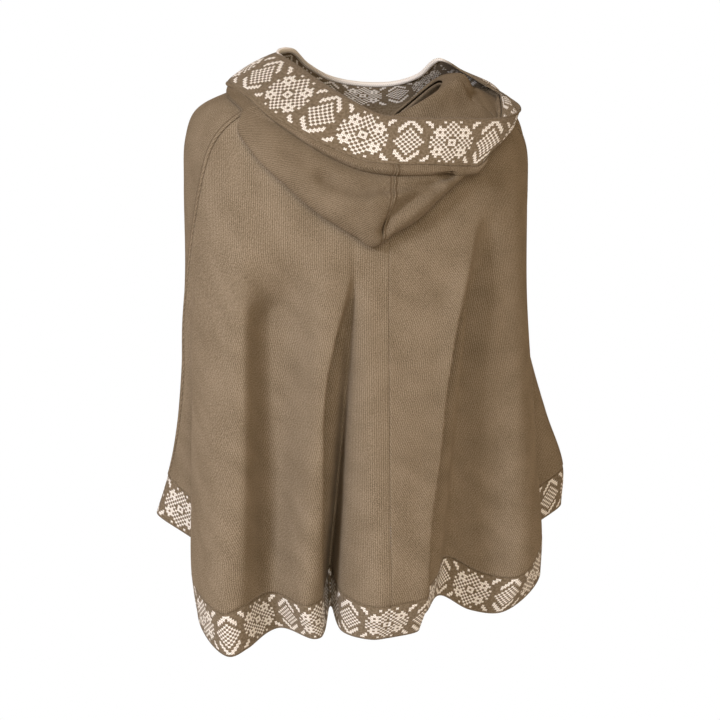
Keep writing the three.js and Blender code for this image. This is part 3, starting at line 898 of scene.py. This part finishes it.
# %% Creases
# height and width in millimetres, and the points of the line that the crease follows.
CREASES = (
    (5, 11, ((-28, -188, -172), (-2, -188, -167), (18, -187, -159), (46, -183, -152), (71, -176, -144))),
    (-11, 7, ((-14, -182, -160), (7, -182, -157), (32, -181, -154), (58, -178, -146), (80, -172, -138))),
    (-10, 10, ((-11, -187, -214), (-4, -190, -196), (12, -189, -179), (37, -186, -165), (58, -182, -156))),
    (2, 9, ((-13, -183, -225), (8, -177, -207), (31, -183, -183), (56, -182, -164))),
    (3, 16, ((-28, -188, -172), (-48, -186, -177), (-66, -181, -185), (-83, -172, -191))),
    (-7, 11, ((-32, -182, -158), (-49, -179, -158), (-68, -175, -154), (-89, -168, -143))),
    (-3, 12, ((-89, -168, -143), (-114, -158, -126), (-140, -140, -107))),
)


def from_line(points, line):
    """Distance of each point from a bent line."""
    nearest = np.full(points.shape[:-1], 1e9)
    corners = np.array(line, float)
    for start, end in zip(corners[:-1], corners[1:]):
        along = end - start
        share = np.clip((points - start) @ along / (along @ along), 0, 1)
        nearest = np.minimum(nearest, np.linalg.norm(points - start - share[..., None] * along, axis=-1))
    return nearest


def creased(points, normals, creases):
    """The cloth with its creases pushed in and its small ridges raised."""
    moved = sum(
        height * np.exp(-((from_line(points, line) / width) ** 2)) for height, width, line in creases
    )
    return points + normals * moved[..., None]


print(len(CREASES), "creases, the deepest", min(height for height, _, _ in CREASES), "mm")

# %% [markdown]
# The hood is two halves with a topstitched seam down the middle. Its columns go round by the right,
# so that the right side of the cloth faces away from the hood's hollow. The seam's allowances lie
# under it, so the cloth swells there and dips again in the stitches.

# %% Hood halves
HOOD_ROWS = np.concatenate([np.linspace(0, 5, 24), np.linspace(5, 7, 14)[1:], np.linspace(7, 13, 60)[1:]])
HOOD_LINES = 150
HOOD_COLUMNS = 130
WELT_SWELL = 0.9
WELT_REACH = 3.4
HOOD_SEAM_DIP = 0.9
HOOD_SEAM_DIP_REACH = 1.2


def hood_half(name, first, last, back_edge):
    """Half of the hood between two shares of the way round. back_edge: its edge at the back."""
    fine = hood_cloth(np.linspace(first, last, HOOD_LINES), HOOD_ROWS)
    grid = resampled(fine, beside_both(HOOD_COLUMNS))
    out = facing(grid)
    distance = seam_distance(grid, BOTH_EDGES)
    grid = creased(grid, out, CREASES)
    grid = grid + out * (WELT_SWELL * np.exp(-((distance / WELT_REACH) ** 4)))[..., None]
    dip = HOOD_SEAM_DIP * np.exp(-((distance / HOOD_SEAM_DIP_REACH) ** 2))
    grid = grid - out * dip[..., None]
    seam = seam_distance(grid, (back_edge,))
    maps = {"across": spacing(grid, 0), "down": spacing(grid, 1), "seam": seam}
    piece = wall(cloth(name, grid, maps, WOOL_HOOD))
    print(name, grid.shape[:2], "area", round(area_of(grid), 3), "m2")
    return piece, grid


HOOD_RIGHT, hood_right_grid = hood_half("hood_right_half", 1, FRONT_SHARE, "first")
HOOD_LEFT, hood_left_grid = hood_half("hood_left_half", FRONT_SHARE, 0, "last")

# %% [markdown]
# The hood's band is knitted to the same chart. Its last two rows are plain cream and roll a little,
# as the free edge of a knit does, so they stand proud of the band.

# %% Hood band
BAND_ROWS = 33
CREAM_ROWS = (31, 32)
# How far the band stands out at each line of its last rows.
RIM_RISE = (0.5, 1.2, 0.5)
# The row of knots along which the stitches are measured.
BAND_MIDDLE = 14.2
BAND_LINES = 1201
# The chart's column at the centre back, and the plain rows before the chart.
BAND_START = 23
PLAIN_AT_BACK = 2
PLAIN_IN_FRONT = 13
FRONT_FROM = 20
CREAM_YARN = 2.5


def hood_band():
    """The band round the hood's face edge, closed into a ring."""
    shares = np.linspace(1, 0, BAND_LINES)
    middle = hood_cloth(shares, [BAND_MIDDLE])[:, 0]
    shares = even_shares(middle, shares, STITCH, multiple=CHART.shape[1])
    grid = hood_cloth(shares, np.linspace(HOOD_SEAM, HOOD_TOP, BAND_ROWS + 1))
    out = facing(grid, closed=True)
    rim = np.zeros(grid.shape[:2])
    rim[:, CREAM_ROWS[0] :] = RIM_RISE
    dip = BAND_DIP * np.exp(-((spacing(grid, 1) / BAND_DIP_REACH) ** 2))
    grid = grid + out * (rim - dip)[..., None]
    grid[-1] = grid[0]
    count = np.indices(grid.shape[:2])
    maps = {"across": count[0], "down": count[1]}
    # The pattern lies nearer the rim across the front, where that is the part that shows.
    in_front = grid[:-1, BAND_ROWS // 2, 1] > FRONT_FROM
    before = np.where(in_front, PLAIN_IN_FRONT, PLAIN_AT_BACK)
    chart = charted(len(grid) - 1, BAND_ROWS, BAND_START, before=before)
    # The cream rows turn in at the back, so only their front half is coloured.
    for row in CREAM_ROWS:
        chart[:, row] = np.where(grid[:-1, row, 1] > 0, CREAM_YARN, 0)
    piece = wall(cloth("hood_band_knit", grid, maps, JACQUARD, chart=chart, closed=True))
    print("hood band stitches", chart.shape, "area", round(area_of(grid), 3), "m2")
    return piece, grid


HOOD_BAND, hood_band_grid = hood_band()

# %% [markdown]
# The free edge itself curls into a small roll of two cream rows. It is a grid too, wrapped round the
# band's last row: one column for each stitch, and its rows go round the roll.

# %% Rolled edge of the hood
ROLL = 3.8
ROLL_ROWS = 8
# The roll covers the band's edge by this much where it is thinnest.
ROLL_COVER = 0.1
# It begins this far behind the shoulders, and is full this much further forward.
ROLL_FROM = 10
ROLL_GROWS = 30
ROLL_YARN = 3.0


def rolled_edge():
    """The cream roll along the free edge of the hood's band."""
    rim = hood_band_grid[:, -1]
    onward = rim - hood_band_grid[:, -2]
    onward /= np.linalg.norm(onward, axis=-1, keepdims=True)
    along = np.roll(rim[:-1], -1, axis=0) - np.roll(rim[:-1], 1, axis=0)
    along = np.concatenate([along, along[:1]])
    out = np.cross(along, onward)
    out /= np.linalg.norm(out, axis=-1, keepdims=True)
    onward = np.cross(out, along)
    onward /= np.linalg.norm(onward, axis=-1, keepdims=True)
    centre = rim - out * WALL / 2
    angles = np.linspace(0, 2 * math.pi, ROLL_ROWS + 1)
    # The roll is full across the front and turned in, so that it hardly shows, across the back.
    full = np.clip((rim[:, 1:2] + ROLL_FROM) / ROLL_GROWS, 0, 1)
    radius = WALL / 2 + ROLL_COVER + (ROLL - WALL / 2) * full**2 * (3 - 2 * full)
    ring = [
        centre + radius * (math.cos(angle) * out + math.sin(angle) * onward) for angle in angles
    ]
    grid = np.array(ring).transpose(1, 0, 2)
    grid[-1] = grid[0]
    count = np.indices(grid.shape[:2])
    # Half as many stitches lie round the roll as it has rows.
    maps = {"across": count[0], "down": count[1] * 0.5}
    chart = np.repeat(ROLL_YARN * full[:-1], ROLL_ROWS, axis=1)
    return cloth("hood_rolled_edge", grid, maps, JACQUARD, chart=chart, closed=True)


ROLLED_EDGE = rolled_edge()
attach(ROLLED_EDGE, "root")
print("rolled edge", len(ROLLED_EDGE.data.polygons), "faces")

# %% [markdown]
# Each piece now rides on the frame's one body and stands for its solid.

# %% Ride and replace
PIECES = [
    # piece, grid, node, slot
    (BACK_LEFT, back_left_grid, "back_left", "wool"),
    (BACK_RIGHT, back_right_grid, "back_right", "wool"),
    (FRONT, front_grid, "front", "wool"),
    (HOOD_LEFT, hood_left_grid, "hood_left", "wool"),
    (HOOD_RIGHT, hood_right_grid, "hood_right", "wool"),
    (HOOD_BAND, hood_band_grid, "hood_band", "jacquard"),
    (HEM_BACK_LEFT, hem_back_left_grid, "hem_band_back_left", "jacquard"),
    (HEM_BACK_RIGHT, hem_back_right_grid, "hem_band_back_right", "jacquard"),
    (HEM_FRONT, hem_front_grid, "hem_band_front", "jacquard"),
]
for piece, grid, node, slot in PIECES:
    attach(piece, "root")
    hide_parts(node)

# %% [markdown]
# The stage is a sheet of plain white paper and a white backdrop, as for a catalogue. In a studio
# the paper is lit so far past white that it shows no shade of its own. A second light on it would also
# light the cape, so it glows for the camera alone: the Light Path node tells those rays apart.

# %% Floor and backdrop
FLOOR_LEVEL = -1.25
FLOOR_HALF = 12


def white_to_camera(tree, shader, glow, output):
    """Shows the glow to the camera, and the shader to all other rays."""
    seen = add(tree, "ShaderNodeLightPath").outputs["Is Camera Ray"]
    both = add(
        tree, "ShaderNodeMixShader", None, {0: seen, 1: shader.outputs[0], 2: glow.outputs[0]}
    )
    tree.links.new(both.outputs[0], tree.nodes[output].inputs["Surface"])


def floor():
    """A wide sheet of matt white paper below the cape."""
    mesh = bmesh.new()
    bmesh.ops.create_grid(mesh, x_segments=1, y_segments=1, size=FLOOR_HALF)
    bmesh.ops.translate(mesh, verts=mesh.verts, vec=(0, 0, FLOOR_LEVEL))
    data = bpy.data.meshes.new("floor")
    mesh.to_mesh(data)
    mesh.free()
    piece = bpy.data.objects.new("floor", data)
    bpy.context.collection.objects.link(piece)
    material, tree, shader = new_material("matt_white_paper")
    shader.inputs["Base Color"].default_value = linear("#ffffff")
    shader.inputs["Roughness"].default_value = 1.0
    glow = add(tree, "ShaderNodeEmission", None, {"Color": linear("#ffffff"), "Strength": 1.0})
    white_to_camera(tree, shader, glow, "Material Output")
    data.materials.append(material)
    return piece


floor()
world = bpy.data.worlds.new("studio")
world.use_nodes = True
sky = world.node_tree
sky.nodes["Background"].inputs["Color"].default_value = linear("#ffd9a8")
sky.nodes["Background"].inputs["Strength"].default_value = 0.28
backdrop = add(sky, "ShaderNodeBackground", None, {"Color": linear("#ffffff"), "Strength": 1.0})
white_to_camera(sky, sky.nodes["Background"], backdrop, "World Output")
bpy.context.scene.world = world
print("floor at", FLOOR_LEVEL, "m, world:", world.name)

# %% [markdown]
# Folds show by light that grazes them. The key lamp stands at the left, so the right side of each fold
# is shaded. Larger, weaker lamps near the camera, at the right and behind the cape keep the shade open.


# %% Lamps
def soft_light(name, place, aim, size, watts, colour):
    """A square lamp at a place, turned to its aim."""
    light = bpy.data.lights.new(name, "AREA")
    light.color = linear(colour)[:3]
    light.size = size
    light.energy = watts
    lamp = bpy.data.objects.new(name, light)
    lamp.location = Vector(place)
    lamp.rotation_euler = (Vector(aim) - lamp.location).to_track_quat("-Z", "Y").to_euler()
    bpy.context.collection.objects.link(lamp)
    return lamp


lamps = [
    # name place aim size watts colour
    soft_light("key", (-2.3, -2.0, 0.9), (0, 0, -0.45), 0.7, 72, "#f4f4ff"),
    soft_light("fill", (2.6, -1.8, -0.3), (0, 0, -0.5), 2.0, 7, "#ffe0b8"),
    soft_light("near_camera", (-0.3, -2.8, 1.0), (0, 0, -0.2), 1.2, 26, "#fff6ec"),
    soft_light("behind", (1.3, 2.9, 0.5), (0, 0, -0.4), 1.6, 50, "#fff4e6"),
]
print("lamps:", [(lamp.name, lamp.data.energy) for lamp in lamps])

# %% [markdown]
# The camera stands behind the cape and a little to its left, level with its upper half, and looks
# slightly down. Its long lens keeps the cape's proportions. Standard view leaves the colours as they
# were given, where a filmic one would soften them.

# %% Camera
CAMERA_PLACE = (-0.5162, -1.8938, -0.178)
LOOKS_DOWN = 6.482
TURNED_RIGHT = 15.354
lens = bpy.data.cameras.new("camera")
lens.sensor_width = 36
lens.lens = 68.28
lens.clip_start = 0.05
lens.clip_end = 60
camera = bpy.data.objects.new("camera", lens)
camera.location = CAMERA_PLACE
camera.rotation_euler = (math.radians(90 - LOOKS_DOWN), 0, math.radians(-TURNED_RIGHT))
bpy.context.collection.objects.link(camera)
bpy.context.scene.camera = camera
bpy.context.scene.view_settings.view_transform = "Standard"
print("camera at", CAMERA_PLACE, "with a", round(lens.lens, 1), "mm lens")
